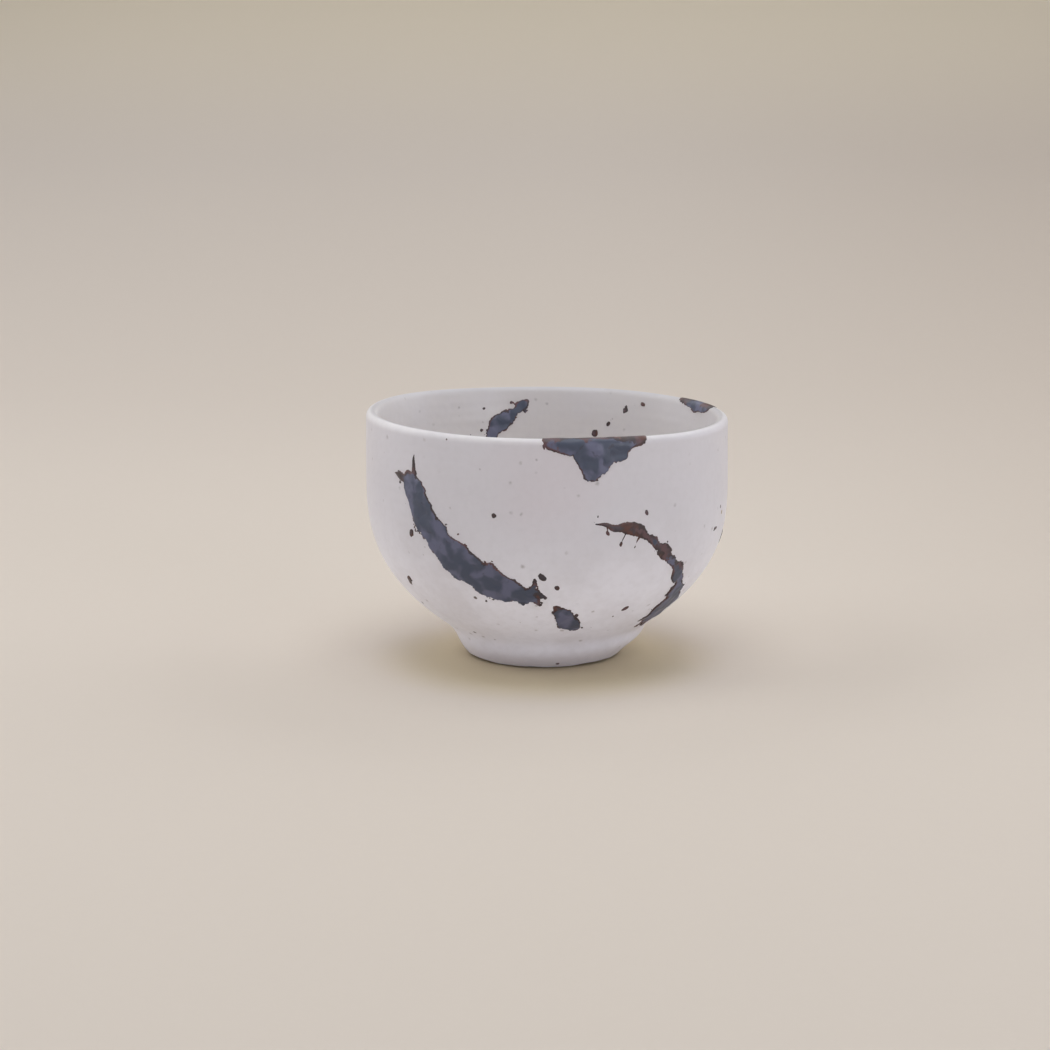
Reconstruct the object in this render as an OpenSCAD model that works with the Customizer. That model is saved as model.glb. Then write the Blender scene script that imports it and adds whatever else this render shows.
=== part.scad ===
// Guinomi sake cup: a small wheel-thrown bowl on a turned foot ring, glazed white
// inside and out, with drops and strokes of dark glaze flung over the white one.
// Sizes are in millimetres. The cup stands on the plane z = 0, its axis is the
// z axis and its front faces -y.

/* [Bowl] */
// Outside diameter at the belly, over the glaze
cup_d = 68; // [56:1:90]
// Height of the cup, over the glaze on the lip
cup_h = 46; // [42:1:60]
// Height of the widest point of the belly
belly_h = 34; // [28:1:38]
// How far the lip leans in from the belly
lip_lean = 0.1; // [0:0.1:2]
// Thickness of the lip, with the glaze on both sides
lip_t = 2.1; // [1.5:0.1:3]
// Thickness of the wall at the belly, with the glaze on both sides
wall_t = 3.3; // [2.6:0.1:5]
// Thickness of the floor over the foot recess, with its glaze
floor_t = 4.4; // [3:0.1:7]

/* [Foot] */
// Outside diameter of the flat ring that the cup stands on
foot_d = 25.6; // [22:0.1:31]
// Width of the flat ring that the cup stands on
foot_face_w = 2.4; // [1.5:0.1:4]
// Radius of the rounded outer edge of the foot
foot_edge_r = 2; // [0.8:0.1:2.6]
// Height of the line where the bowl springs from the foot
foot_h = 6.2; // [4.5:0.1:8]
// Diameter of the bare clay at that line
waist_d = 36.8; // [33:0.1:42]
// Depth of the recess turned out of the foot
recess_h = 2.8; // [1.5:0.1:4.5]
// Radius of the corner inside the recess
recess_edge_r = 1.2; // [0.5:0.1:1.4]

/* [Glaze] */
// Thickness of the white glaze
glaze_t = 0.35; // [0.2:0.05:0.6]
// Thickness of the dark glaze that lies on the white one
splash_t = 0.28; // [0.15:0.01:0.5]
// Clearance between the two glazes, so that their solids do not overlap
seat_gap = 0.02; // [0.01:0.01:0.05]

/* [Hidden] */

clay_colour = [0.52, 0.44, 0.40];
white_colour = [0.86, 0.84, 0.84];
dark_colour = [0.29, 0.31, 0.37];
brown_colour = [0.28, 0.17, 0.13];

// How full the bowl is below the belly: the power of its outer curve
bowl_power = 2.7;
// The powers of the inner curve, across and up, which square the floor off a little
across_power = 0.72;
up_power = 0.91;

// Steps along the curves
foot_steps = 5;
bowl_steps = 14;
brim_steps = 4;
lip_steps = 5;
inner_steps = 16;
stroke_steps = 5;
cap_angles = [30, 60, 90, 120, 150];
round_fn = 180;
drop_fn = 32;

// Clay sizes, which are the cup's own less the glaze
belly_r = cup_d / 2 - glaze_t;
lip_r = lip_t / 2 - glaze_t;
lip_z = cup_h - glaze_t - lip_r;
lip_centre_r = belly_r - lip_lean - lip_r;
inner_belly_r = cup_d / 2 - wall_t + glaze_t;
inner_lip_r = lip_centre_r - lip_r;
floor_z = recess_h + floor_t - glaze_t;
recess_r = foot_d / 2 - foot_face_w;
waist_r = waist_d / 2;

// Where the straight side of the foot meets its rounded edge, seen from the edge's centre
edge_run = waist_r - foot_d / 2;
edge_rise = foot_h - foot_edge_r;
edge_touch = atan2(edge_rise, edge_run) - acos(foot_edge_r / norm([edge_run, edge_rise]));

// Points of an arc about [r, z], from one angle to another
function arc(centre, radius, from, to, steps) =
    [for (i = [0 : steps]) let (a = from + (to - from) * i / steps)
        centre + radius * [cos(a), sin(a)]];

// Outside of the bare clay, from the flat ring up to the crown of the lip
foot_side = arc([foot_d / 2, foot_edge_r], foot_edge_r, -90, edge_touch, foot_steps);
bowl_side = [for (i = [0 : bowl_steps]) let (t = i / bowl_steps)
    [belly_r - (belly_r - waist_r) * pow(1 - t, bowl_power),
     foot_h + (belly_h - foot_h) * t]];
brim_side = [for (i = [1 : brim_steps - 1]) let (t = i / brim_steps)
    [belly_r - lip_lean * t * t, belly_h + (lip_z - belly_h) * t]];
lip_outside = arc([lip_centre_r, lip_z], lip_r, 0, 90, lip_steps);
glazed_outside = concat([foot_side[foot_steps]], bowl_side, brim_side, lip_outside);

// Inside of the bare clay, from the crown of the lip down to the middle of the floor
lip_inside = arc([lip_centre_r, lip_z], lip_r, 90, 180, lip_steps);
brim_inside = [for (i = [brim_steps - 1 : -1 : 1]) let (t = i / brim_steps)
    [inner_belly_r + (inner_lip_r - inner_belly_r) * t * t,
     belly_h + (lip_z - belly_h) * t]];
bowl_inside = [for (i = [0 : inner_steps]) let (a = 90 - 90 * i / inner_steps)
    [inner_belly_r * pow(sin(a), across_power),
     belly_h - (belly_h - floor_z) * pow(cos(a), up_power)]];
glazed_inside = concat(lip_inside, brim_inside, bowl_inside);

// Inside of the foot, from the middle of its ceiling out to the flat ring
recess_corner = [recess_r - recess_edge_r, recess_h - recess_edge_r];
recess_side = concat([[0, recess_h]], arc(recess_corner, recess_edge_r, 90, 0, foot_steps),
                     [[recess_r, 0]]);

// Direction square to an outline at its point i, on the left of its course
function square_to(points, i) =
    let (last = len(points) - 1,
         d = points[min(i + 1, last)] - points[max(i - 1, 0)])
    [-d[1], d[0]] / norm(d);

// An outline moved sideways by a distance, to the right of its course. A point on
// the axis stays on it.
function beside(points, distance) =
    [for (i = [0 : len(points) - 1]) let (p = points[i] - distance * square_to(points, i))
        [points[i][0] == 0 ? 0 : p[0], p[1]]];

function reversed(points) = [for (i = [len(points) - 1 : -1 : 0]) points[i]];

// A coat between two distances from an outline, turned about the axis
module coat(points, from, to) {
    rotate_extrude($fn = round_fn)
        polygon(concat(beside(points, from), reversed(beside(points, to))));
}

// Both outlines as one, over the lip
function after_first(points) = [for (i = [1 : len(points) - 1]) points[i]];
glazed_over_lip = concat(glazed_outside, after_first(glazed_inside));

// The layer that dark glaze fills where it lies on a glazed outline
module dark_coat(points) {
    coat(points, glaze_t + seat_gap, glaze_t + seat_gap + splash_t);
}

// Point between b and c on a smooth curve through a, b, c and d
function between(a, b, c, d, t) =
    (2 * b + (c - a) * t + (2 * a - 5 * b + 4 * c - d) * t * t
        + (3 * b - a - 3 * c + d) * t * t * t) / 2;

// Stations along a stroke, smoothed. Each is its place across and up, and half its width.
function smooth(stations) =
    let (last = len(stations) - 1)
    [for (i = [0 : last - 1], k = [0 : stroke_steps - 1])
        between(stations[max(i - 1, 0)], stations[i], stations[i + 1],
                stations[min(i + 2, last)], k / stroke_steps),
     stations[last]];

// Shares of the cup's radius, height and radius again, made into sizes
function sized(shares) =
    [for (s = shares) [s[0] * cup_d / 2, s[1] * cup_h, s[2] * cup_d / 2]];

// How far the edge of a stroke swells and shrinks along its length, as a share of
// its width, with none at its ends
swell_share = 0.16;
function swell(i, last, side) =
    1 + swell_share * sin(180 * i / last) * sin(i * 97 + side * 60) * cos(i * 41 + side * 25);

// Outline of a stroke: up one side of its course, round its end and back down the
// other side, round its start
function stroke_outline(shares) =
    let (s = smooth(sized(shares)),
         last = len(s) - 1,
         middle = [for (p = s) [p[0], p[1]]],
         left = [for (i = [0 : last]) square_to(middle, i)],
         ahead = [for (n = left) [n[1], -n[0]]])
    concat([for (i = [0 : last]) middle[i] + left[i] * s[i][2] * swell(i, last, 1)],
           [for (a = cap_angles) middle[last] + s[last][2] * (left[last] * cos(a) + ahead[last] * sin(a))],
           [for (i = [last : -1 : 0]) middle[i] - left[i] * s[i][2] * swell(i, last, 2)],
           [for (a = cap_angles) middle[0] - s[0][2] * (left[0] * cos(a) + ahead[0] * sin(a))]);

// A flat outline made to reach outwards from the axis, turned to its place round the cup
module reach_out(azimuth) {
    rotate([0, 0, azimuth])
        rotate([90, 0, 0])
            linear_extrude(height = cup_d)
                children();
}

// One stroke of dark glaze on a surface
module stroke(surface, azimuth, shares) {
    intersection() {
        dark_coat(surface);
        reach_out(azimuth)
            polygon(stroke_outline(shares));
    }
}

// Round drops of dark glaze: each has its azimuth, its height as a share of the
// cup's and its radius as a share of the cup's
module drops(surface, shares) {
    for (s = shares)
        intersection() {
            dark_coat(surface);
            reach_out(s[0])
                translate([0, s[1] * cup_h])
                    circle(r = s[2] * cup_d / 2, $fn = drop_fn);
        }
}

// The thrown and turned cup in bare clay, with its foot ring
module clay_body() {
    color(clay_colour)
        rotate_extrude($fn = round_fn)
            polygon(concat(foot_side, bowl_side, brim_side, lip_outside,
                           after_first(glazed_inside), recess_side));
}

// White glaze outside, from the wiped edge of the foot to the crown of the lip
module outer_glaze() {
    color(white_colour)
        coat(glazed_outside, 0, glaze_t);
}

// White glaze inside, from the crown of the lip to the middle of the floor
module inner_glaze() {
    color(white_colour)
        coat(glazed_inside, 0, glaze_t);
}

// White glaze on the ceiling of the foot recess
module foot_glaze() {
    color(white_colour)
        translate([0, 0, recess_h - glaze_t])
            cylinder(h = glaze_t, r = recess_r - recess_edge_r, $fn = round_fn);
}

// A broad stroke with a blunt head, which crosses the front from the left
heavy_azimuth = -30;
heavy_shares = [[-0.30, 0.83, 0.016], [-0.26, 0.78, 0.050], [-0.20, 0.70, 0.085],
                [-0.11, 0.61, 0.078], [-0.01, 0.53, 0.100], [0.10, 0.465, 0.098],
                [0.21, 0.415, 0.082], [0.32, 0.385, 0.060], [0.40, 0.39, 0.026]];
module heavy_splash() {
    color(dark_colour)
        stroke(glazed_outside, heavy_azimuth, heavy_shares);
}

// A long thin tail that drops to a pool above the foot
comet_azimuth = 42;
comet_shares = [[-0.46, 0.67, 0.006], [-0.34, 0.66, 0.020], [-0.20, 0.62, 0.026],
                [-0.05, 0.545, 0.024], [0.07, 0.46, 0.030], [0.15, 0.38, 0.046],
                [0.18, 0.31, 0.078], [0.16, 0.25, 0.084], [0.12, 0.21, 0.040]];
module comet_splash() {
    color(brown_colour)
        stroke(glazed_outside, comet_azimuth, comet_shares);
}

// A single fat drop
leaf_azimuth = 8;
leaf_shares = [[-0.07, 0.325, 0.020], [-0.05, 0.295, 0.056], [-0.01, 0.26, 0.072],
               [0.04, 0.23, 0.060], [0.08, 0.21, 0.022]];
module leaf_splash() {
    color(dark_colour)
        stroke(glazed_outside, leaf_azimuth, leaf_shares);
}

// A splash that laps over the lip, low outside and lower still inside
rim_azimuth = 14;
rim_shares = [[-0.24, 0.985, 0.020], [-0.15, 0.970, 0.060], [-0.05, 0.950, 0.092],
              [0.05, 0.955, 0.082], [0.15, 0.975, 0.050], [0.24, 0.990, 0.022]];
module rim_splash() {
    color(dark_colour)
        stroke(glazed_over_lip, rim_azimuth, rim_shares);
}

// A splash on the back of the bowl's inside
inner_azimuth = 196;
inner_shares = [[-0.15, 0.93, 0.014], [-0.08, 0.90, 0.044], [0.01, 0.85, 0.052],
                [0.08, 0.78, 0.042], [0.12, 0.71, 0.016]];
module inner_splash() {
    color(dark_colour)
        stroke(glazed_inside, inner_azimuth, inner_shares);
}

// A heavy run down the back
back_azimuth = 158;
back_shares = [[0.16, 0.86, 0.014], [0.13, 0.79, 0.060], [0.07, 0.70, 0.086],
               [0.03, 0.60, 0.078], [0.04, 0.50, 0.104], [0.00, 0.41, 0.092],
               [-0.08, 0.345, 0.062], [-0.15, 0.32, 0.024]];
module back_splash() {
    color(dark_colour)
        stroke(glazed_outside, back_azimuth, back_shares);
}

// A long thin tail that rises from a pool, on the left of the back
back_comet_azimuth = 236;
back_comet_shares = [[-0.40, 0.335, 0.024], [-0.32, 0.33, 0.066], [-0.21, 0.35, 0.060],
                     [-0.08, 0.41, 0.034], [0.06, 0.50, 0.024], [0.20, 0.61, 0.020],
                     [0.31, 0.72, 0.007]];
module back_comet() {
    color(brown_colour)
        stroke(glazed_outside, back_comet_azimuth, back_comet_shares);
}

// A small splash over the lip, on the right of the back
back_rim_azimuth = 114;
back_rim_shares = [[-0.17, 0.985, 0.016], [-0.08, 0.975, 0.050], [0.02, 0.965, 0.066],
                   [0.12, 0.975, 0.048], [0.19, 0.990, 0.014]];
module back_rim_splash() {
    color(dark_colour)
        stroke(glazed_over_lip, back_rim_azimuth, back_rim_shares);
}

outer_drop_shares = [[-2, 0.47, 0.018], [3, 0.42, 0.011], [-47, 0.58, 0.020], [-56, 0.38, 0.024],
                     [-16, 0.70, 0.012], [31, 0.71, 0.014], [66, 0.58, 0.016], [30, 0.30, 0.020],
                     [84, 0.50, 0.036], [92, 0.41, 0.017], [140, 0.47, 0.018], [178, 0.60, 0.024],
                     [190, 0.48, 0.015], [205, 0.76, 0.030], [262, 0.30, 0.020]];
module outer_drops() {
    color(brown_colour)
        drops(glazed_outside, outer_drop_shares);
}

inner_drop_shares = [[150, 0.925, 0.020], [143, 0.955, 0.018], [161, 0.82, 0.018],
                     [156, 0.845, 0.012], [62, 0.70, 0.020], [318, 0.62, 0.016]];
module inner_drops() {
    color(brown_colour)
        drops(glazed_inside, inner_drop_shares);
}

clay_body();
outer_glaze();
inner_glaze();
foot_glaze();
heavy_splash();
comet_splash();
leaf_splash();
rim_splash();
inner_splash();
back_splash();
back_comet();
back_rim_splash();
outer_drops();
inner_drops();
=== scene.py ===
"""A guinomi sake cup: a small wheel-thrown bowl on a turned foot, glazed white inside and
out, with strokes and drops of dark glaze flung over the white one. Lengths are in metres."""

import math

import bpy
import numpy as np
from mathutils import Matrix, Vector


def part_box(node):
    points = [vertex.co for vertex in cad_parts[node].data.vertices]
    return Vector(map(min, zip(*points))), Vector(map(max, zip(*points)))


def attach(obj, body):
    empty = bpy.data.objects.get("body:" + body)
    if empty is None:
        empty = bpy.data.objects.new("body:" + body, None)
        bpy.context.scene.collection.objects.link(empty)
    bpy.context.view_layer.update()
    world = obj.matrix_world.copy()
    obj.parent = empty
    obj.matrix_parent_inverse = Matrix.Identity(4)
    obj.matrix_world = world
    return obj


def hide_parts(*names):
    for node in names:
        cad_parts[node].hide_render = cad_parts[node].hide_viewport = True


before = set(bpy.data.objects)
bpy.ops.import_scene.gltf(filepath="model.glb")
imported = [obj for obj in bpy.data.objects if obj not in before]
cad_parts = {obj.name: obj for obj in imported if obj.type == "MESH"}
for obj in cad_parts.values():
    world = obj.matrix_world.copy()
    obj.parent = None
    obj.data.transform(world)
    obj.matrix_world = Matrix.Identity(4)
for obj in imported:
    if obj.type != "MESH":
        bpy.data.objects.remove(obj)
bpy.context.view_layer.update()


# The camera. It stands in front of the cup, a little above it, with a long lens, as a
# photographer of tableware would set it. The cup is a little to the right of its view.
picture_px = 1050
focal_px = 2434
view_centre_height = 0.0242
view_distance = 0.460
view_drop = math.radians(11.3)
view_left_of_cup = 0.0041
sensor = 0.036

lens = bpy.data.cameras.new("camera")
lens.sensor_width = sensor * 1000
lens.lens = sensor * 1000 * focal_px / picture_px
camera = bpy.data.objects.new("camera", lens)
camera.location = (-view_left_of_cup, -view_distance * math.cos(view_drop),
                   view_centre_height + view_distance * math.sin(view_drop))
camera.rotation_euler = (math.pi / 2 - view_drop, 0, 0)
bpy.context.scene.collection.objects.link(camera)
bpy.context.scene.camera = camera


# The clay body. It is iron-bearing stoneware, thrown as one bowl on the wheel, then turned
# over so that the foot ring and the recess inside it are cut from the thick base.
glaze = 0.00035
glazed_low, glazed_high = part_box("outer_glaze")
cup_r = (glazed_high[0] - glazed_low[0]) / 2
cup_h = glazed_high[2]
belly_h = 0.034
lip_lean = 0.0001
lip_thick = 0.0021
wall_thick = 0.0033
floor_thick = 0.0044
foot_r = 0.0128
foot_face = 0.0024
foot_edge = 0.0020
foot_h = 0.0062
waist_r = 0.0184
recess_h = 0.0028
recess_edge = 0.0012
waist_reach = 0.0030
foot_swell = 0.0006
foot_swell_z = 0.0030
foot_swell_reach = 0.0019
foot_shift = 0.0005
foot_shift_reach = 0.0022
bowl_power = 2.7
across_power = 0.72
up_power = 0.91

belly_r = cup_r - glaze
lip_r = lip_thick / 2 - glaze
lip_z = cup_h - glaze - lip_r
lip_centre = belly_r - lip_lean - lip_r
inner_r = cup_r - wall_thick + glaze
floor_z = recess_h + floor_thick - glaze
recess_r = foot_r - foot_face
turn_steps = 360


def arc(r, z, radius, start, end, steps=24):
    """Points [r, z] of an arc about a centre: centre plus radius times the angle's cosine
    and sine."""
    a = np.radians(np.linspace(start, end, steps))
    return np.stack([r + radius * np.cos(a), z + radius * np.sin(a)], 1)


def evened(line, step):
    """The same line with points a step apart: both coordinates as functions of the length
    along it, softened over half a millimetre, with its two ends kept."""
    length = np.append(0, np.cumsum(np.hypot(*np.diff(line, axis=0).T)))
    along = np.linspace(0, length[-1], int(length[-1] / step) + 1)
    even = np.stack([np.interp(along, length, line[:, k]) for k in (0, 1)], 1)
    reach = max(int(0.0003 / step), 1)
    kernel = np.hanning(2 * reach + 3)[1:-1]
    kernel /= kernel.sum()
    before, after = 2 * even[0] - even[reach:0:-1], 2 * even[-1] - even[-2:-reach - 2:-1]
    padded = np.concatenate([before, even, after])
    return np.stack([np.convolve(padded[:, k], kernel, "valid") for k in (0, 1)], 1)


# The outside runs from the foot's flat ring to the crown of the lip. Below the belly its
# radius falls short of the belly's by a power of the depth below it.
edge_run, edge_rise = waist_r - foot_r, foot_h - foot_edge
edge_touch = math.degrees(math.atan2(edge_rise, edge_run)
                          - math.acos(foot_edge / math.hypot(edge_run, edge_rise)))
t = np.linspace(0, 1, 200)[:, None]
bowl_outside = np.hstack([belly_r - (belly_r - waist_r) * (1 - t) ** bowl_power,
                          foot_h + (belly_h - foot_h) * t])
brim_outside = np.hstack([belly_r - lip_lean * t ** 2, belly_h + (lip_z - belly_h) * t])
outside = np.concatenate([arc(foot_r, foot_edge, foot_edge, -90, edge_touch), bowl_outside,
                          brim_outside[1:-1], arc(lip_centre, lip_z, lip_r, 0, 90)])

# The inside runs from the crown down to the middle of the floor, on a curve squarer than an
# ellipse.
brim_inside = np.hstack([inner_r + (lip_centre - lip_r - inner_r) * (1 - t) ** 2,
                         lip_z - (lip_z - belly_h) * t])
a = np.radians(90) * (1 - t)
bowl_inside = np.hstack([inner_r * np.abs(np.sin(a)) ** across_power,
                         belly_h - (belly_h - floor_z) * np.abs(np.cos(a)) ** up_power])
inside = np.concatenate([arc(lip_centre, lip_z, lip_r, 90, 180), brim_inside[1:-1],
                         bowl_inside])

# Both as one skin line, measured by q: the distance from the crown, more than 0 outside. The
# waist is rounded by a running mean of the outside, which counts less away from the waist.
skin_step = 0.00005
skin_out = evened(outside, skin_step)[::-1]
mean_steps = 52
mean_shares = np.hanning(2 * mean_steps + 3)[1:-1]
mean_shares /= mean_shares.sum()
rounded = np.stack([np.convolve(np.pad(skin_out[:, k], mean_steps, "edge"), mean_shares, "valid")
                    for k in (0, 1)], 1)
near_waist = np.exp(-((skin_out[:, 1:] - foot_h) / waist_reach) ** 2)
skin_out = skin_out + near_waist * (rounded - skin_out)
skin_in = evened(inside, skin_step)
skin_in[-1, 0] = 0
skin_line = np.concatenate([skin_in[::-1], skin_out[1:]])
q_floor, q_foot = -skin_step * (len(skin_in) - 1), skin_step * (len(skin_out) - 1)
skin_q = np.linspace(q_floor, q_foot, len(skin_line))
slope = np.gradient(skin_line, axis=0)
skin_normal = np.stack([-slope[:, 1], slope[:, 0]], 1) / np.linalg.norm(slope, axis=1)[:, None]


def waves(points, length, seed, count=16):
    """Smooth seamless noise of about unit size: a sum of plane waves about a length long,
    each with its own direction, length and start."""
    rng = np.random.default_rng(seed)
    way = rng.normal(size=(count, 3))
    way /= np.linalg.norm(way, axis=1)[:, None]
    way *= 2 * np.pi / length / rng.uniform(0.6, 1.7, (count, 1))
    start = rng.uniform(0, 2 * np.pi, count)
    total = np.zeros(points.shape[:-1])
    for k in range(count):
        total += np.sin(points @ way[k] + start[k])
    return total * math.sqrt(2 / count)


def hand_thrown(r, z, turn):
    """A round form made a little uneven, as it leaves the hand: it is slightly oval and its
    lip slopes and waves, by small sines of the turn that grow with a power of the height. The
    foot's outside swells by a bell curve of the height, which is fuller and higher at the
    right, and another bell curve sets the foot's ring off the middle, to the left. The turn
    is measured from the front, towards +X."""
    right = np.sin(turn)
    swell_z = foot_swell_z + 0.0011 * right
    swell = (foot_swell + 0.0002 * right) * np.exp(-((z - swell_z) / foot_swell_reach) ** 2)
    r = r + swell * np.clip((r - recess_r - 0.0011) / 0.0012, 0, 1)
    grown = np.clip(z / cup_h, 0, 1) ** 1.5
    r = r * (1 + 0.0030 * grown * np.cos(2 * turn - 0.9) + 0.0012 * grown * np.cos(3 * turn + 0.4))
    x = r * right - foot_shift * np.exp(-(z / foot_shift_reach) ** 2)
    lift = grown * (-0.0155 * x + 0.00010 * np.sin(3 * turn + 1.0) + 0.00006 * np.sin(5 * turn))
    return np.stack([x, -r * np.cos(turn), z + lift], -1)


def skin(q, turn, lift):
    """Points over the clay's skin: the skin line at q, moved by the lift square to it, then
    turned about the axis. Two sines of q plus the turn add the low spiral ridges that fingers
    leave, and broad noise adds hollows, but at the lip, at the foot's edge and in the middle
    of the floor."""
    r, z = np.interp(q, skin_q, skin_line[:, 0]), np.interp(q, skin_q, skin_line[:, 1])
    normal_r = np.interp(q, skin_q, skin_normal[:, 0])
    normal_z = np.interp(q, skin_q, skin_normal[:, 1])
    ends = np.clip((q - q_floor) / 0.006, 0, 1) * np.clip(np.abs(q) / 0.004, 0, 1)
    ends = ends * np.clip((q_foot - q - 0.0025) / 0.002, 0, 1)
    spiral = np.where(q > 0, 0.000010, 0.000022) * np.sin(2 * np.pi * q / 0.0047 + turn)
    spiral = spiral + np.where(q > 0, 0.000007, 0.000010) * np.sin(2 * np.pi * q / 0.0019 - turn + 1.3)
    around = np.stack([r * np.sin(turn), -r * np.cos(turn), z + 0 * turn], -1)
    spiral = spiral * (0.6 + 0.4 * waves(around, 0.021, 3))
    hollow = 0.00006 * waves(around, 0.034, 4)
    lift = lift + ends * (spiral + hollow)
    return hand_thrown(r + lift * normal_r, z + lift * normal_z, turn)


def grid_faces(rows, columns, joined):
    """Four-sided faces between neighbouring rows of a grid that closes on itself sideways,
    and from its last row to its first if joined."""
    i = np.arange(rows if joined else rows - 1)[:, None]
    j = np.arange(columns)[None, :]
    here, over = i * columns, (i + 1) % rows * columns
    after = (j + 1) % columns
    return np.stack([here + j, over + j, over + after, here + after], -1).reshape(-1, 4)


def build(name, points, face_sets, depth=None):
    """A mesh object at the origin from an array of points and arrays of faces, smooth but
    for its sharp edges, with the depth of the glaze as a value at each point if given."""
    mesh = bpy.data.meshes.new(name)
    corners = np.concatenate([faces.ravel() for faces in face_sets])
    sides = np.concatenate([np.full(len(faces), faces.shape[1]) for faces in face_sets])
    mesh.vertices.add(len(points))
    mesh.vertices.foreach_set("co", points.ravel())
    mesh.loops.add(len(corners))
    mesh.loops.foreach_set("vertex_index", corners.astype(np.int32))
    mesh.polygons.add(len(sides))
    mesh.polygons.foreach_set("loop_start", (np.cumsum(sides) - sides).astype(np.int32))
    mesh.update(calc_edges=True)
    mesh.shade_smooth()
    mesh.set_sharp_from_angle(angle=math.radians(50))
    if depth is not None:
        mesh.attributes.new("depth", "FLOAT", "POINT").data.foreach_set("value", depth)
    piece = bpy.data.objects.new(name, mesh)
    bpy.context.scene.collection.objects.link(piece)
    return piece


def turned(name, rows, joined=False):
    """A closed solid of rows of points round the axis. Where it isn't joined into a ring,
    its first and last rows close in a single point each, the middle of the row."""
    count, columns = rows.shape[:2]
    if joined:
        return build(name, rows.reshape(-1, 3), [grid_faces(count, columns, True)])
    j = np.arange(columns)
    last = (count - 1) * columns
    first_pole = count * columns
    fan_in = np.stack([j, (j + 1) % columns, np.full(columns, first_pole)], -1)
    fan_out = np.stack([last + (j + 1) % columns, last + j, np.full(columns, first_pole + 1)], -1)
    points = np.concatenate([rows.reshape(-1, 3), [rows[0].mean(0)], [rows[-1].mean(0)]])
    return build(name, points, [grid_faces(count, columns, False), fan_in, fan_out])


class Paint:
    """The nodes of one material, with a short call for each kind that is used here."""

    def __init__(self, name):
        self.material = bpy.data.materials.new(name)
        self.material.use_nodes = True
        self.nodes, self.links = self.material.node_tree.nodes, self.material.node_tree.links
        self.shader = self.nodes["Principled BSDF"]
        self.place = self.nodes.new("ShaderNodeTexCoord").outputs["Object"]

    def put(self, value, socket):
        """Links a node's output to a socket, or sets the socket to a constant."""
        if isinstance(value, bpy.types.NodeSocket):
            self.links.new(value, socket)
        else:
            socket.default_value = value

    def sum(self, operation, *values):
        """A sum on numbers."""
        node = self.nodes.new("ShaderNodeMath")
        node.operation = operation
        for socket, value in zip(node.inputs, values):
            self.put(value, socket)
        return node.outputs[0]

    def vector_sum(self, operation, *values):
        """A sum on vectors, which gives a vector, or a number where it measures a length."""
        node = self.nodes.new("ShaderNodeVectorMath")
        node.operation = operation
        for socket, value in zip(node.inputs, values):
            self.put(value, socket)
        return node.outputs["Value" if operation in ("LENGTH", "DISTANCE") else "Vector"]

    def coordinates(self):
        """The object's coordinates X, Y and Z as three numbers."""
        node = self.nodes.new("ShaderNodeSeparateXYZ")
        self.put(self.place, node.inputs[0])
        return node.outputs

    def span(self, value, low, high, to_low=0.0, to_high=1.0):
        """The value's smooth place between low and high, as a number between two others."""
        node = self.nodes.new("ShaderNodeMapRange")
        node.interpolation_type = "SMOOTHSTEP"
        for socket, v in zip(node.inputs, (value, low, high, to_low, to_high)):
            self.put(v, socket)
        return node.outputs[0]

    def noise(self, size, detail=3.0, roughness=0.5, place=None):
        """Noise whose features are about the size given, in metres."""
        node = self.nodes.new("ShaderNodeTexNoise")
        self.put(place or self.place, node.inputs["Vector"])
        self.put(1 / size, node.inputs["Scale"])
        self.put(detail, node.inputs["Detail"])
        self.put(roughness, node.inputs["Roughness"])
        return node.outputs["Fac"]

    def blend(self, factor, a, b):
        """Colour b over colour a by a factor."""
        node = self.nodes.new("ShaderNodeMix")
        node.data_type = "RGBA"
        for k, value in ((0, factor), (6, a), (7, b)):
            self.put(value, node.inputs[k])
        return node.outputs[2]

    def raise_by(self, height, distance, below=None):
        """A bump of a height that runs from 0 to 1 over a distance in metres, on top of the
        bump below it if there is one."""
        node = self.nodes.new("ShaderNodeBump")
        self.put(distance, node.inputs["Distance"])
        self.put(height, node.inputs["Height"])
        if below is not None:
            self.put(below, node.inputs["Normal"])
        return node.outputs[0]

    def moved(self, size, distance):
        """The object's coordinates pushed about by noise of a size, over a distance."""
        noise = self.nodes.new("ShaderNodeTexNoise")
        self.put(self.place, noise.inputs["Vector"])
        self.put(1 / size, noise.inputs["Scale"])
        centred = self.vector_sum("SUBTRACT", noise.outputs["Color"], (0.5, 0.5, 0.5))
        return self.vector_sum("MULTIPLY_ADD", centred, (distance,) * 3, self.place)

    def specks(self, cell, share, largest, place, fade=0.45):
        """Scattered round specks, 1 at their middles. A share of the cells holds one, and
        each has its own radius up to the largest, in metres, and fades towards its rim."""
        node = self.nodes.new("ShaderNodeTexVoronoi")
        self.put(place, node.inputs["Vector"])
        self.put(1 / cell, node.inputs["Scale"])
        chance = self.nodes.new("ShaderNodeSeparateColor")
        self.put(node.outputs["Color"], chance.inputs[0])
        held = self.sum("LESS_THAN", chance.outputs[0], share)
        radius = self.span(chance.outputs[1], 0.0, 1.0, largest / cell * 0.35, largest / cell)
        near = self.sum("SUBTRACT", 1.0, self.sum("DIVIDE", node.outputs["Distance"], radius))
        dot = self.span(near, 0.0, fade)
        return self.sum("MULTIPLY", dot, held), chance.outputs[2]


def from_screen(red, green, blue):
    """A colour as it is read on a screen, made linear by the sRGB curve, with alpha 1."""
    share = np.array([red, green, blue]) / 255
    linear = np.where(share <= 0.04045, share / 12.92, ((share + 0.055) / 1.055) ** 2.4)
    return (*linear.tolist(), 1.0)


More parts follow.
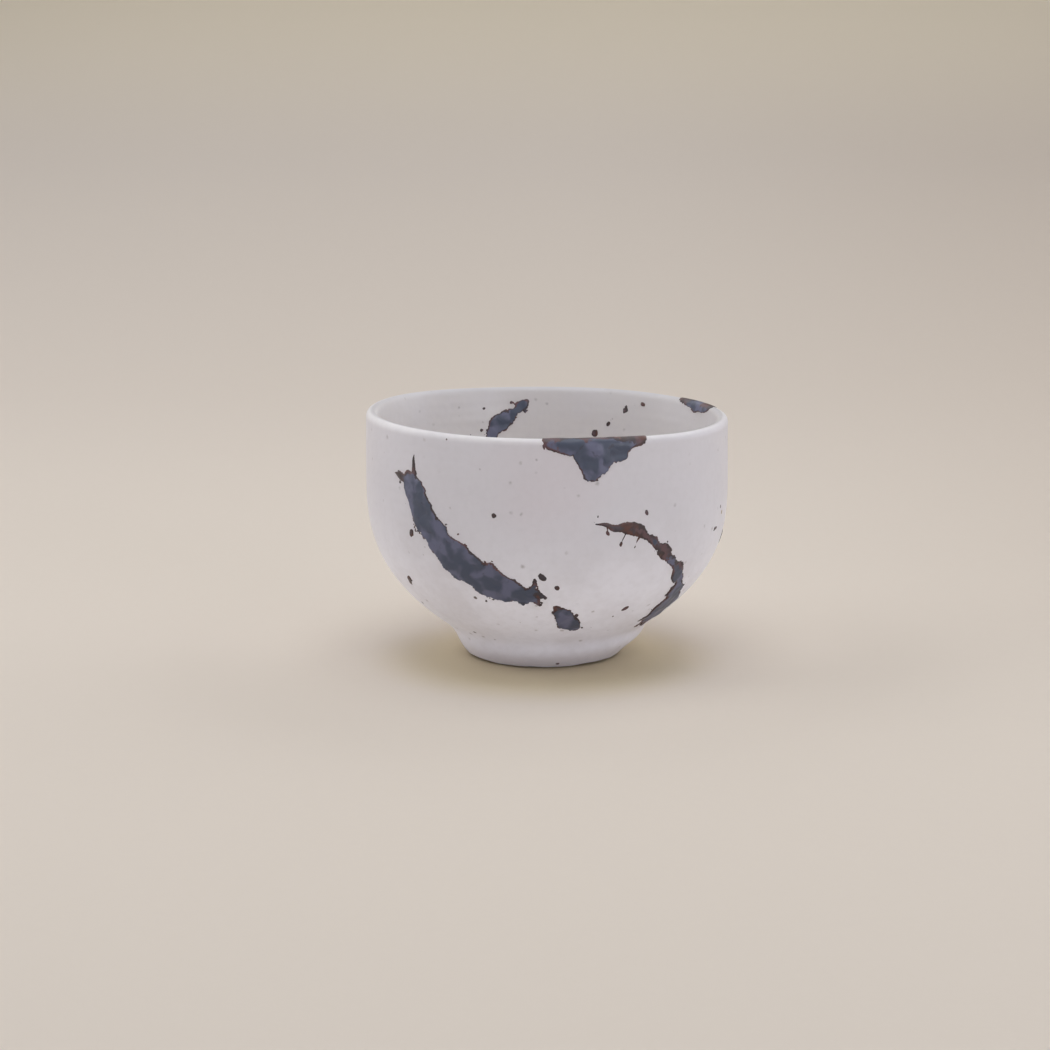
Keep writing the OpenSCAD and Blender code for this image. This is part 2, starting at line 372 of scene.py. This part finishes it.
def bare_clay():
    """Unglazed stoneware: a grey-brown body with sand and iron in it, dull and gritty."""
    p = Paint("bare_clay")
    broad = p.noise(0.006, 4)
    colour = p.blend(p.span(broad, 0.3, 0.7), from_screen(118, 103, 96), from_screen(150, 134, 124))
    sand, tint = p.specks(0.0009, 0.5, 0.00024, p.moved(0.0008, 0.0003))
    grain = p.blend(p.span(tint, 0.3, 0.7), from_screen(74, 58, 50), from_screen(176, 160, 146))
    p.put(p.blend(sand, colour, grain), p.shader.inputs["Base Color"])
    fine = p.noise(0.0004, 5, 0.65)
    p.put(p.span(fine, 0.3, 0.7, 0.72, 0.92), p.shader.inputs["Roughness"])
    grit = p.raise_by(fine, 0.00006)
    p.put(p.raise_by(sand, 0.00003, below=grit), p.shader.inputs["Normal"])
    return p.material


turn = np.linspace(0, 2 * np.pi, turn_steps, endpoint=False)[None, :]
pole_gap = 0.0004
floor_end = q_floor + pole_gap / 2
lip_reach, edge_reach = 0.0012, 0.0040
clay_q = np.concatenate([np.linspace(floor_end, -lip_reach - 0.0003, 90),
                         np.linspace(-lip_reach, lip_reach, 12),
                         np.linspace(lip_reach + 0.0003, q_foot - edge_reach - 0.0002, 90),
                         np.linspace(q_foot - edge_reach, q_foot, 24)])[:, None]
under_glaze = 0.00002
skin_rows = skin(clay_q, turn, -under_glaze)
recess = np.concatenate([[[recess_r + 0.0001, 0]],
                         arc(recess_r - recess_edge, recess_h - recess_edge, recess_edge, 0, 90, 8),
                         [[recess_r / 2, recess_h], [pole_gap, recess_h]]])
recess_rows = hand_thrown(recess[:, :1] + 0 * turn, recess[:, 1:] + 0 * turn, turn)
clay_body = turned("clay", np.concatenate([skin_rows, recess_rows]))
clay_body.data.materials.append(bare_clay())
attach(clay_body, "root")
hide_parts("clay_body")


# The white glaze outside. The cup is held by its foot and dipped, and the foot's edge is
# then wiped, so the glaze ends in an uneven line just above the ring that it stands on.
wiped_off = 0.0017
lip_bright_z = 0.0448
flush_at = (0.0, -0.034, 0.037)


def white_glaze(name, upper_white_shaded, lower_white_lit, from_z, to_z):
    """A semi-matte white glaze over iron-bearing clay: cool white, darker high on a wall and
    whiter low down, partly where it has run down and lies thick and partly as painted light
    and shade; a painted highlight along the near half of the lip's crown; painted shade on the
    lip's inner roll; and greyer at the foot, where the wiped glaze is thin and as painted shade
    by the table. It has faint clouds, fine mottling, a pink flush, grey and brown iron specks,
    pinholes and a softly uneven skin."""
    p = Paint(name)
    _, y, height = p.coordinates()
    # Darker high on the wall and whiter low down: partly glaze that has run down and lies thick, partly
    # painted shade above and painted light below.
    white = p.blend(p.span(height, from_z, to_z), upper_white_shaded, lower_white_lit)
    # Greyer at the foot: the wiped glaze is thin there and the clay shows through, and it is also
    # painted shade where the foot stands near the table.
    at_foot = p.span(height, 0.0045, 0.0005, 0.0, 0.55)
    white = p.blend(at_foot, white, from_screen(200, 190, 186))
    # A painted highlight: the lip's crown is whiter along its near half only.
    crown = p.span(height, lip_bright_z, lip_bright_z + 0.0012)
    crown = p.sum("MULTIPLY", crown, p.span(y, 0.012, -0.008))
    white = p.blend(crown, white, from_screen(239, 234, 232))
    # Painted shade: a greyer band on the lip's inner roll, just inside the crown.
    radius = p.vector_sum("LENGTH", p.vector_sum("MULTIPLY", p.place, (1.0, 1.0, 0.0)))
    inner_roll = p.sum("MULTIPLY", p.span(radius, 0.0332, 0.0326), p.span(radius, 0.0318, 0.0324))
    inner_roll = p.sum("MULTIPLY", inner_roll, p.span(height, lip_bright_z - 0.0008, lip_bright_z))
    white = p.blend(inner_roll, white, from_screen(206, 201, 201))
    cloud = p.noise(0.014, 4, 0.6)
    white = p.blend(p.span(cloud, 0.42, 0.72, 0.0, 0.5), white, from_screen(219, 214, 216))
    mottle = p.span(p.noise(0.0013, 3), 0.40, 0.70, 0.0, 0.10)
    white = p.blend(mottle, white, from_screen(204, 198, 198))
    flush = p.span(p.vector_sum("DISTANCE", p.moved(0.009, 0.008), flush_at), 0.002, 0.014, 0.18, 0.0)
    white = p.blend(flush, white, from_screen(232, 214, 216))
    strewn = p.moved(0.0006, 0.0003)
    faint, faint_tone = p.specks(0.0025, 0.42, 0.00062, p.moved(0.0007, 0.0005), fade=1.0)
    grey = p.blend(faint_tone, from_screen(158, 150, 148), from_screen(196, 189, 185))
    white = p.blend(p.sum("MULTIPLY", faint, 0.75), white, grey)
    iron, iron_tone = p.specks(0.0050, 0.55, 0.00050, strewn)
    brown = p.blend(p.span(iron_tone, 0.55, 0.7), from_screen(84, 58, 52), from_screen(163, 133, 84))
    white = p.blend(p.sum("MULTIPLY", iron, 0.95), white, brown)
    p.put(white, p.shader.inputs["Base Color"])
    p.put(p.span(p.noise(0.004, 3), 0.3, 0.7, 0.34, 0.46), p.shader.inputs["Roughness"])
    skin_bump = p.raise_by(p.noise(0.0048, 2), 0.00009)
    skin_bump = p.raise_by(p.noise(0.0011, 3), 0.000016, below=skin_bump)
    holes, _ = p.specks(0.0050, 0.22, 0.00020, strewn)
    p.put(p.raise_by(p.sum("SUBTRACT", 1.0, holes), 0.00003, below=skin_bump), p.shader.inputs["Normal"])
    return p.material


# Outside: painted shade high on the wall and painted light low down, over glaze that runs down thicker.
white = white_glaze("white_glaze", from_screen(223, 218, 220), from_screen(248, 246, 251), 0.036, 0.010)
wiped_q = q_foot - wiped_off + 0.00016 * np.sin(3 * turn + 2)
wiped_q = wiped_q + 0.00010 * np.sin(8 * turn) + 0.00006 * np.sin(19 * turn + 1)
down = np.linspace(0, 1, 190)[:, None]
roll = np.radians(np.linspace(0, 90, 7))[1:, None]
outer_rows = np.concatenate([
    skin(wiped_q * down, turn, glaze),
    skin(wiped_q + glaze * np.sin(roll), turn, glaze * np.cos(roll)),
    skin(wiped_q * (1 - down[1::6]), turn, 0 * turn),
])
outer_glaze = turned("white_glaze_outside", outer_rows, joined=True)
outer_glaze.data.materials.append(white)
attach(outer_glaze, "root")
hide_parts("outer_glaze")


# The white glaze inside. It is poured in, swilled round and tipped out, and it meets the
# outer coat along the crown of the lip.
into = np.linspace(1, 0, 170)[:, None]
inner_rows = np.concatenate([
    skin(floor_end * into, turn, glaze),
    skin(floor_end * into[::-1][::6], turn, 0 * turn),
])
inner_glaze = turned("white_glaze_inside", inner_rows)
# Inside: painted shade near the lip and painted light deeper down, which flatten the shading of the
# inside wall.
inner_glaze.data.materials.append(white_glaze(
    "white_glaze_inside", from_screen(215, 209, 206), from_screen(242, 237, 234), 0.045, 0.028))
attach(inner_glaze, "root")
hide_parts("inner_glaze")


# The glaze in the foot recess. A brushful covers the recess's ceiling, and surface tension
# rounds its rim.
patch_r = recess_r - recess_edge
rim = arc(patch_r - glaze, recess_h - glaze, glaze, 90, -90, 9)
patch = np.concatenate([[[pole_gap, recess_h]], rim * [1, 0.5] + [0, recess_h / 2 - glaze / 2],
                        [[pole_gap, recess_h - glaze]]])
reach, reach_z = patch[:, :1], patch[:, 1:] + 0 * turn
patch_rows = hand_thrown(reach * (1 + 0.02 * np.sin(5 * turn) * (reach > 0.001)), reach_z, turn)
foot_glaze = turned("white_glaze_in_foot", patch_rows)
foot_glaze.data.materials.append(white)
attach(foot_glaze, "root")
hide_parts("foot_glaze")


# The dark glaze. It is rich in iron with a little cobalt, and is flung from a loaded brush
# over the dry white coat. It fires slate blue where it lies thick and rust brown where thin.
splash_thick = 0.00028
splash_grid = 0.00010
splash_sunk = 0.00003
lapped_share = 1.9
outer_q = skin_step * np.arange(len(skin_out))
inner_q = -skin_step * np.arange(len(skin_in))


def stroke(azimuth, shares, inner=False):
    """A stroke's course as rows of turn, q and half width, on a Catmull-Rom curve through
    its stations. A station's shares are of the cup's radius, of its height and again of its
    radius, as seen square on at the azimuth."""
    s = np.asarray(shares, float) * [cup_r, cup_h, cup_r]
    s = np.concatenate([s[:1], s, s[-1:]])
    t = np.linspace(0, 1, 14, endpoint=False)[None, :, None]
    a, b, c, d = s[:-3, None], s[1:-2, None], s[2:-1, None], s[3:, None]
    curve = (2 * b + (c - a) * t + (2 * a - 5 * b + 4 * c - d) * t ** 2
             + (3 * b - a - 3 * c + d) * t ** 3) / 2
    across, up, half = np.concatenate([curve.reshape(-1, 3), s[-2:-1]]).T
    q = np.interp(-up, -skin_in[:, 1], inner_q) if inner else np.interp(-up, -skin_out[:, 1], outer_q)
    reach = np.interp(q, skin_q, skin_line[:, 0])
    return np.stack([math.radians(azimuth) + np.arcsin(np.clip(across / reach, -1, 1)), q, half], 1)


def fingers(course, count, seed, longest=0.0042):
    """Fingers that fly off the head of a stroke: each starts in it and tapers away, and
    together they fan out about the way that the stroke was going."""
    rng = np.random.default_rng(seed)
    t = np.linspace(0, 1, 18)
    ahead = course[-1] - course[-7]
    way = math.atan2(ahead[1], ahead[0] * cup_r)
    rows = []
    for k in range(count):
        root = course[-1 - rng.integers(3, 18)]
        angle = way + 1.1 * (2 * (k + 0.5) / count - 1) + rng.normal(0, 0.15) + rng.normal(0, 0.5) * t
        step = (root[2] + rng.uniform(0.3, 1) * longest) / len(t)
        rows.append(np.stack([root[0] + np.cumsum(step * np.cos(angle)) / cup_r,
                              root[1] + np.cumsum(step * np.sin(angle)),
                              rng.uniform(0.4, 0.8) * root[2] * (1 - t) ** 0.8 + 0.00009], 1))
    return np.concatenate(rows)


def threads(course, count, seed):
    """Fine straight threads that leave one side of a stroke at chance angles, each thinner
    with its length, with a drop where it broke off."""
    rng = np.random.default_rng(seed)
    t = np.linspace(0, 1, 24)
    rows = []
    for k in rng.integers(4, len(course) - 8, count):
        ahead = course[k + 3] - course[k - 3]
        way = math.atan2(ahead[1], ahead[0] * cup_r) + rng.uniform(0.9, 1.7)
        length = course[k, 2] + rng.uniform(0.0004, 0.0022)
        half = 0.00012 * (1 - t) + 0.00003
        half[-3:] = rng.uniform(0.00012, 0.00026)
        rows.append(np.stack([course[k, 0] + length * t * math.cos(way) / cup_r,
                              course[k, 1] + length * t * math.sin(way), half], 1))
    return np.concatenate(rows)


def spatter(course, count, seed):
    """Fine drops beside a stroke, more of them towards its head, most of them very small.
    Each lies off the stroke's edge at a chance angle, by a length from an exponential draw."""
    rng = np.random.default_rng(seed)
    root = course[(len(course) * rng.uniform(0, 1, count) ** 0.6).astype(int)]
    angle = rng.uniform(0, 2 * np.pi, count)
    off = root[:, 2] + 0.0003 + rng.exponential(0.0009, count)
    return np.stack([root[:, 0] + off * np.cos(angle) / cup_r, root[:, 1] + off * np.sin(angle),
                     0.00008 + 0.00026 * rng.uniform(0, 1, count) ** 3], 1)


def filled(field):
    """The part of a grid where a field is above 0, as a flat mesh. Its points are the grid
    points inside and the places where grid lines cross 0, and each cell gives the polygon
    that lies inside. The first points, as many as the number given, are the inside ones."""
    i, j = np.nonzero(field > 0)
    inner = np.full(field.shape, -1)
    inner[i, j] = np.arange(len(i))
    inside, places, edges = len(i), [np.stack([i, j], 1).astype(float)], []
    for axis in (1, 0):
        first = field[:, :-1] if axis else field[:-1]
        second = field[:, 1:] if axis else field[1:]
        i, j = np.nonzero((first > 0) != (second > 0))
        share = first[i, j] / (first[i, j] - second[i, j])
        index = np.full(first.shape, -1)
        index[i, j] = sum(map(len, places)) + np.arange(len(i))
        places.append(np.stack([i + share * (1 - axis), j + share * axis], 1))
        edges.append(index)
    corner = [inner[:-1, :-1], inner[:-1, 1:], inner[1:, 1:], inner[1:, :-1]]
    edge = [edges[0][:-1], edges[1][:, 1:], edges[0][1:], edges[1][:, :-1]]
    code = sum((c >= 0).astype(int) << k for k, c in enumerate(corner))
    faces = []
    for kind in range(1, 16):
        cells = code == kind
        held = [kind >> k & 1 for k in range(4)]
        walk = []
        for k in range(4):
            walk += [corner[k][cells]] if held[k] else []
            walk += [edge[k][cells]] if held[k] != held[(k + 1) % 4] else []
        if cells.any():
            faces.append(np.stack(walk, 1))
    return np.concatenate(places), inside, faces


def puddle(marks, seed, over_lip=False):
    """Glaze that has wetted round marks, as one thin closed lens. Its field is the radius of
    the marks less the distance to them, with waves on its edge, and the lens stands where
    the field is above 0. Its top rises from that edge in a quarter round to an uneven level,
    lower where the marks are narrow or the lip has let the glaze run off. A puddle that laps
    over the lip has its distances inside counted nearly twice, so it reaches less far there."""
    turn_reach = marks[:, 2] / np.interp(marks[:, 1], skin_q, skin_line[:, 0])
    margin = 0.0010
    turns = np.arange((marks[:, 0] - turn_reach).min() - margin / cup_r,
                      (marks[:, 0] + turn_reach).max() + margin / cup_r, splash_grid / cup_r)
    q_low = (marks[:, 1] - marks[:, 2]).min() - margin
    q_high = (marks[:, 1] + marks[:, 2]).max() + margin
    qs = np.arange(-0.7 * q_high if over_lip else q_low, q_high, splash_grid)
    spots = skin(qs[:, None], turns[None, :], glaze)
    wander = [0.00035 * waves(spots, 0.0045, seed + k) for k in (1, 2)]
    reach = np.interp(qs, skin_q, skin_line[:, 0])[:, None]
    from_lip = np.where(qs < 0, -lapped_share * qs, qs) if over_lip else qs
    seen_q = from_lip[:, None] + wander[1]
    field, weight, weighed = np.full(spots.shape[:2], -1.0), 0, 0
    for mark_turn, mark_q, radius in marks:
        aside = reach * (turns - mark_turn) + wander[0] * min(radius / 0.001, 1)
        here = radius - np.hypot(aside, seen_q - mark_q)
        field = np.maximum(field, here)
        near = np.exp(here / 0.00035)
        weight, weighed = weight + near, weighed + near * radius
    broad = weighed / weight
    calm = 0.35 + 0.65 * np.clip(0.5 + 0.7 * waves(spots, 0.0060, seed + 3), 0, 1)
    edge = (0.00018 * waves(spots, 0.0026, seed + 4) + 0.00013 * waves(spots, 0.0011, seed + 5)
            + 0.00009 * waves(spots, 0.00055, seed + 6))
    field += calm * edge * np.clip(broad / 0.0010, 0.15, 1)
    field[[0, -1]] = field[:, [0, -1]] = -1
    places, inside, faces = filled(field)
    row, column = places.T
    point_q = np.interp(row, np.arange(len(qs)), qs)
    point_turn = np.interp(column, np.arange(len(turns)), turns)
    deep, breadth = np.zeros(len(places)), np.full(len(places), 0.0004)
    at = row[:inside].astype(int), column[:inside].astype(int)
    deep[:inside], breadth[:inside] = field[at], broad[at]
    flat = skin(point_q, point_turn, glaze)
    kept = np.clip(breadth / 0.0021, 0.15, 1) * (1 - 0.65 * np.exp(-(point_q / 0.0011) ** 2))
    uneven = np.clip(0.80 + 0.15 * waves(flat, 0.0034, seed + 7, 40), 0.3, 1.1)
    rounded = np.sqrt(1 - (1 - np.clip(deep / 0.0005, 0, 1)) ** 2)
    top = skin(point_q, point_turn, glaze + splash_thick * rounded * (0.35 + 0.65 * kept) * uneven)
    sunk = skin(point_q[:inside], point_turn[:inside], glaze - splash_sunk)
    depth = np.clip(deep / 0.0006, 0, 1) * kept
    under = np.arange(len(places))
    under[:inside] = len(places) + np.arange(inside)
    return (np.concatenate([top, sunk]), [f[:, ::-1] for f in faces] + [under[f] for f in faces],
            np.concatenate([depth, depth[:inside]]))


def splash(name, node, material, puddles):
    """Puddles as one piece, made of a glaze, that stands for a node."""
    spots, faces, depths, first = [], [], [], 0
    for points, sets, depth in puddles:
        spots.append(points)
        faces += [f + first for f in sets]
        depths.append(depth)
        first += len(points)
    piece = build(name, np.concatenate(spots), faces, np.concatenate(depths))
    piece.data.materials.append(material)
    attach(piece, "root")
    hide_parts(node)


def flung_glaze(name, slate, violet, rust):
    """Dark glaze: near black or red-brown in a thin film, then slate with violet clouds where
    it is deep, with a softly folded skin and a satin shine."""
    p = Paint(name)
    depth = p.nodes.new("ShaderNodeAttribute")
    depth.attribute_name = "depth"
    swirled = p.moved(0.0030, 0.0032)
    fine = p.span(p.noise(0.0011, 3, place=swirled), 0.25, 0.75, -0.10, 0.10)
    broad = p.span(p.noise(0.0046, 2), 0.3, 0.7, -0.20, 0.16)
    level = p.sum("ADD", p.sum("ADD", depth.outputs["Fac"], fine), broad)
    colour = p.blend(p.span(p.noise(0.0034, 1, place=swirled), 0.42, 0.60), slate, violet)
    dark = p.span(p.noise(0.0015, 2, place=swirled), 0.60, 0.74, 0.0, 0.55)
    colour = p.blend(dark, colour, from_screen(58, 54, 66))
    red = p.span(p.noise(0.0031, 1, place=swirled), 0.42, 0.58)
    wine = p.blend(red, from_screen(62, 54, 60), from_screen(96, 70, 74))
    colour = p.blend(p.span(level, 0.36, 0.50), wine, colour)
    film = p.blend(p.span(p.noise(0.0022, 2), 0.36, 0.56), rust, from_screen(58, 44, 45))
    colour = p.blend(p.span(level, 0.08, 0.24), film, colour)
    p.put(colour, p.shader.inputs["Base Color"])
    p.put(p.span(p.noise(0.0024, 2), 0.3, 0.7, 0.32, 0.50), p.shader.inputs["Roughness"])
    folds = p.raise_by(p.noise(0.0023, 1.5, 0.4, place=swirled), 0.00026)
    pores = p.raise_by(p.noise(0.0004, 2, place=swirled), 0.000007, below=folds)
    p.put(pores, p.shader.inputs["Normal"])
    return p.material


slate_glaze = flung_glaze("slate_glaze", from_screen(68, 75, 93), from_screen(99, 101, 124),
                          from_screen(90, 55, 48))
rust_glaze = flung_glaze("rust_glaze", from_screen(58, 44, 42), from_screen(84, 66, 58),
                         from_screen(84, 52, 42))

# A broad stroke with a blunt head crosses the front from the left.
broad_stroke = stroke(-30, [[-0.30, 0.83, 0.016], [-0.26, 0.78, 0.050], [-0.20, 0.70, 0.085],
                            [-0.11, 0.61, 0.078], [-0.01, 0.53, 0.100], [0.10, 0.465, 0.098],
                            [0.21, 0.415, 0.082], [0.32, 0.385, 0.060], [0.40, 0.39, 0.026]])
splash("broad_stroke", "heavy_splash", slate_glaze, [
    puddle(np.concatenate([broad_stroke, fingers(broad_stroke, 3, 6), fingers(broad_stroke[::-1], 2, 9),
                           threads(broad_stroke, 3, 8), spatter(broad_stroke, 12, 5)]), 11)])

# A long thin tail drops to a pool above the foot.
long_tail = stroke(42, [[-0.46, 0.67, 0.006], [-0.34, 0.66, 0.020], [-0.20, 0.62, 0.026],
                        [-0.05, 0.545, 0.024], [0.07, 0.46, 0.030], [0.15, 0.38, 0.046],
                        [0.18, 0.31, 0.078], [0.16, 0.25, 0.084], [0.12, 0.21, 0.040]])
splash("long_tail", "comet_splash", slate_glaze, [
    puddle(np.concatenate([long_tail, fingers(long_tail, 4, 14), threads(long_tail, 9, 28),
                           spatter(long_tail, 12, 25)]), 23)])

# One fat drop lies low on the front.
fat_drop = stroke(8, [[-0.07, 0.330, 0.018], [-0.05, 0.305, 0.042], [-0.02, 0.275, 0.064],
                      [0.01, 0.245, 0.066], [0.04, 0.215, 0.048]])
splash("fat_drop", "leaf_splash", slate_glaze, [
    puddle(np.concatenate([fat_drop, spatter(fat_drop, 3, 35)]), 31)])

# A splash laps over the lip at the front, and a smaller one at the back. Two more marks, as
# turn, q and radius, close the front one where it thins out on the crown.
lip_splash = stroke(14, [[-0.25, 0.985, 0.022], [-0.16, 0.975, 0.050], [-0.08, 0.965, 0.062],
                         [-0.03, 0.900, 0.064], [-0.01, 0.885, 0.060], [0.03, 0.945, 0.080],
                         [0.12, 0.965, 0.066], [0.20, 0.980, 0.040], [0.27, 0.990, 0.020]])
on_crown = np.array([[0.209, 0.0008, 0.0014], [0.346, 0.0008, 0.0012]])
splash("lip_splash", "rim_splash", slate_glaze, [
    puddle(np.concatenate([lip_splash, fingers(lip_splash[:60], 1, 44, 0.003),
                           spatter(lip_splash, 6, 45), on_crown]), 43, over_lip=True)])
back_lip_splash = stroke(114, [[-0.17, 0.985, 0.016], [-0.08, 0.975, 0.050], [0.02, 0.965, 0.066],
                               [0.12, 0.975, 0.048], [0.19, 0.990, 0.014]])
splash("back_lip_splash", "back_rim_splash", slate_glaze, [
    puddle(np.concatenate([back_lip_splash, fingers(back_lip_splash[:30], 2, 54, 0.004),
                           spatter(back_lip_splash, 5, 55)]), 53, over_lip=True)])

# A short stroke lies inside, on the wall opposite the viewer.
inside_stroke = stroke(196, [[-0.15, 0.93, 0.014], [-0.08, 0.90, 0.044], [0.01, 0.85, 0.052],
                             [0.08, 0.78, 0.042], [0.12, 0.71, 0.016]], inner=True)
splash("inside_stroke", "inner_splash", slate_glaze, [
    puddle(np.concatenate([inside_stroke, fingers(inside_stroke, 2, 64),
                           spatter(inside_stroke, 6, 65)]), 61)])

# A heavy run and a long tail lie on the back.
back_run = stroke(158, [[0.16, 0.86, 0.014], [0.13, 0.79, 0.060], [0.07, 0.70, 0.086],
                        [0.03, 0.60, 0.078], [0.04, 0.50, 0.104], [0.00, 0.41, 0.092],
                        [-0.08, 0.345, 0.062], [-0.15, 0.32, 0.024]])
splash("back_run", "back_splash", slate_glaze, [
    puddle(np.concatenate([back_run, fingers(back_run, 3, 74), fingers(back_run[::-1], 2, 77),
                           threads(back_run, 4, 78), spatter(back_run, 12, 75)]), 71)])
back_tail = stroke(236, [[-0.40, 0.335, 0.024], [-0.32, 0.33, 0.066], [-0.21, 0.35, 0.060],
                         [-0.08, 0.41, 0.034], [0.06, 0.50, 0.024], [0.20, 0.61, 0.020],
                         [0.31, 0.72, 0.007]])
splash("back_tail", "back_comet", slate_glaze, [
    puddle(np.concatenate([back_tail, fingers(back_tail[::-1], 4, 84), threads(back_tail, 4, 88),
                           spatter(back_tail[::-1], 10, 85)]), 83)])

# Drops that flew off the brush. Each has its azimuth, its height as a share of the cup's
# and its radius as a share of the cup's.
outer_drops = [[-2, 0.47, 0.018], [3, 0.42, 0.011], [-47, 0.58, 0.020], [-56, 0.38, 0.024],
               [-16, 0.70, 0.012], [31, 0.71, 0.014], [66, 0.58, 0.016], [30, 0.30, 0.020],
               [84, 0.50, 0.036], [92, 0.41, 0.017], [140, 0.47, 0.018], [178, 0.60, 0.024],
               [190, 0.48, 0.015], [205, 0.76, 0.030], [262, 0.30, 0.020]]
splash("drops_outside", "outer_drops", rust_glaze,
       [puddle(stroke(a, [[0, h, r]])[:1], 100 + 9 * k)
        for k, (a, h, r) in enumerate(outer_drops)])
inner_drops = [[150, 0.925, 0.020], [143, 0.955, 0.018], [161, 0.82, 0.018],
               [156, 0.845, 0.012], [62, 0.70, 0.020], [318, 0.62, 0.016]]
splash("drops_inside", "inner_drops", rust_glaze,
       [puddle(stroke(a, [[0, h, r]], inner=True)[:1], 300 + 9 * k)
        for k, (a, h, r) in enumerate(inner_drops)])


# The table and backdrop: one sheet of pale warm paper that lies flat and then curves up
# behind the cup, so that no line shows where it turns.
paper_front, paper_back, paper_half, paper_bend, paper_top = -4.0, 0.35, 4.0, 1.2, 3.0


def seen(nodes, links):
    """1 where a thing is seen by the eye, in a gloss or through glass, 0 where it gives light:
    the largest of the three marks that a ray of light carries."""
    path = nodes.new("ShaderNodeLightPath")
    largest = path.outputs["Is Camera Ray"]
    for mark in ("Is Glossy Ray", "Is Transmission Ray"):
        either = nodes.new("ShaderNodeMath")
        either.operation = "MAXIMUM"
        links.new(largest, either.inputs[0])
        links.new(path.outputs[mark], either.inputs[1])
        largest = either.outputs[0]
    return largest


def paper():
    """Matt paper, warm and pale, with painted shade behind the cup and to the right, painted
    light where it turns up, and a painted shadow tint, darker and yellower, under the cup. It
    throws a cleaner light back up at the bowl. Far from the cup, in front and to the sides, it
    shows its plain colour, whatever light falls there."""
    p = Paint("paper")
    x, y, _ = p.coordinates()
    # Painted shade: the paper darkens away from the cup, behind it.
    away = p.span(y, 0.05, 0.35)
    colour = p.blend(away, from_screen(223, 211, 197), from_screen(215, 203, 190))
    # Painted shade to the right of the cup, behind it.
    right = p.sum("MULTIPLY", p.span(y, -0.04, 0.04), p.span(x, 0.0, 0.26))
    colour = p.blend(right, colour, from_screen(206, 193, 179))
    # Painted light where the paper turns up.
    colour = p.blend(p.span(y, 0.70, 0.95), colour, from_screen(235, 221, 197))
    # A painted shadow tint: darker and yellower paper under the cup.
    under = p.span(p.vector_sum("DISTANCE", p.place, (0.0, -0.006, 0.0)), 0.018, 0.036, 1.0, 0.0)
    colour = p.blend(under, colour, from_screen(215, 200, 169))
    colour = p.blend(seen(p.nodes, p.links), from_screen(232, 223, 213), colour)
    p.put(colour, p.shader.inputs["Base Color"])
    p.put(p.span(p.noise(0.002, 4), 0.3, 0.7, 0.80, 0.92), p.shader.inputs["Roughness"])
    p.shader.inputs["Specular IOR Level"].default_value = 0.2
    p.put(p.raise_by(p.noise(0.0012, 4), 0.00002), p.shader.inputs["Normal"])
    beyond = p.sum("MAXIMUM", p.sum("ABSOLUTE", x), p.sum("MULTIPLY", y, -1.0))
    plain = p.nodes.new("ShaderNodeEmission")
    plain.inputs["Color"].default_value = from_screen(207, 197, 188)
    either = p.nodes.new("ShaderNodeMixShader")
    p.put(p.sum("MULTIPLY", p.span(beyond, 0.34, 0.62), seen(p.nodes, p.links)), either.inputs[0])
    p.links.new(p.shader.outputs[0], either.inputs[1])
    p.links.new(plain.outputs[0], either.inputs[2])
    p.links.new(either.outputs[0], p.nodes["Material Output"].inputs["Surface"])
    return p.material


bend = np.radians(np.linspace(0, 90, 60))
sheet_y = np.concatenate([[paper_front, 0.0], paper_back + paper_bend * np.sin(bend),
                          [paper_back + paper_bend]])
sheet_z = np.concatenate([[0.0, 0.0], paper_bend * (1 - np.cos(bend)), [paper_top]])
sheet = np.stack([np.broadcast_to(np.array([-paper_half, paper_half]), (len(sheet_y), 2)),
                  np.repeat(sheet_y[:, None], 2, 1), np.repeat(sheet_z[:, None], 2, 1)], -1)
k = 2 * np.arange(len(sheet_y) - 1)
backdrop = build("paper", sheet.reshape(-1, 3), [np.stack([k, k + 1, k + 3, k + 2], 1)])
backdrop.data.materials.append(paper())


# The light is a white tent: soft panels overhead, a ring of them high up that is brightest at
# the left and behind, and low ones at the sides that reach under the bowl.
tent_radius = 0.95


def panel(name, azimuth, elevation, width, height, watts, colour):
    """A soft rectangular lamp on a dome about the cup, facing it."""
    lamp = bpy.data.lights.new(name, "AREA")
    lamp.shape, lamp.size, lamp.size_y = "RECTANGLE", width, height
    lamp.energy, lamp.color = watts, colour
    piece = bpy.data.objects.new(name, lamp)
    turn, rise = math.radians(azimuth), math.radians(elevation)
    out = np.array([math.sin(turn) * math.cos(rise), -math.cos(turn) * math.cos(rise), math.sin(rise)])
    piece.location = tent_radius * out + [0, 0, cup_h / 2]
    piece.rotation_euler = (math.pi / 2 - rise, 0, turn)
    piece.visible_camera = False
    bpy.context.scene.collection.objects.link(piece)


cool, cooler = (0.97, 0.995, 1.035), (0.955, 0.99, 1.115)
panel("overhead", 0, 90, 0.7, 0.7, 3.15, cool)
panel("overhead_front", 0, 65, 0.6, 0.5, 1.15, cool)
for azimuth, watts in ((45, 0.35), (90, 0.9), (135, 1.5), (180, 0.75), (225, 1.15), (270, 1.75)):
    panel("high_%d" % azimuth, azimuth, 40, 0.6, 0.5, watts, cool)
for azimuth, watts in ((0, 0.2), (45, 1.7), (110, 0.9), (260, 1.15), (315, 0.8)):
    panel("low_%d" % azimuth, azimuth, 9, 0.55, 0.25, watts, cooler)


# The room beyond the paper. It is pale to the eye and in the glaze's gloss, and it gives no
# light of its own.
world = bpy.data.worlds.new("room")
bpy.context.scene.world = world
world.use_nodes = True
nodes, links = world.node_tree.nodes, world.node_tree.links
nodes["Background"].inputs["Color"].default_value = from_screen(205, 196, 186)
links.new(seen(nodes, links), nodes["Background"].inputs["Strength"])
bpy.context.scene.view_settings.view_transform = "Standard"
